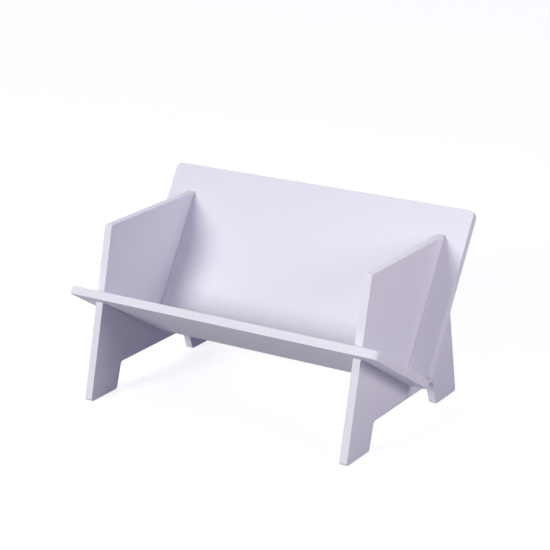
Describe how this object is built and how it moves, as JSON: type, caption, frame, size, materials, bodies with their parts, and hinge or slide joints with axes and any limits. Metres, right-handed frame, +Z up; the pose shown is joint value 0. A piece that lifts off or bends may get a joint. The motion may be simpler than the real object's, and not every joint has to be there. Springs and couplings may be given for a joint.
{
  "type": "desktop book rack",
  "caption": "Slot-together desktop book rack: a shelf tilted down to the rear, a leaning back at right angles to it, and splayed end panels that cross both near their ends.",
  "frame": {"origin": "on the table, in the middle of the box round the four feet", "axes": "+X along the rack, to the right as seen from the front; +Y to the rear, the way the back leans; +Z up"},
  "size_m": [0.38, 0.2366, 0.2142],
  "materials": {
    "white_board": "smooth white foamed plastic board with a faint sheen and eased edges"
  },
  "bodies": {
    "root": {"shelf_board": "white_board", "back_board": "white_board", "left_end_panel": "white_board", "right_end_panel": "white_board"}
  },
  "joints": []
}
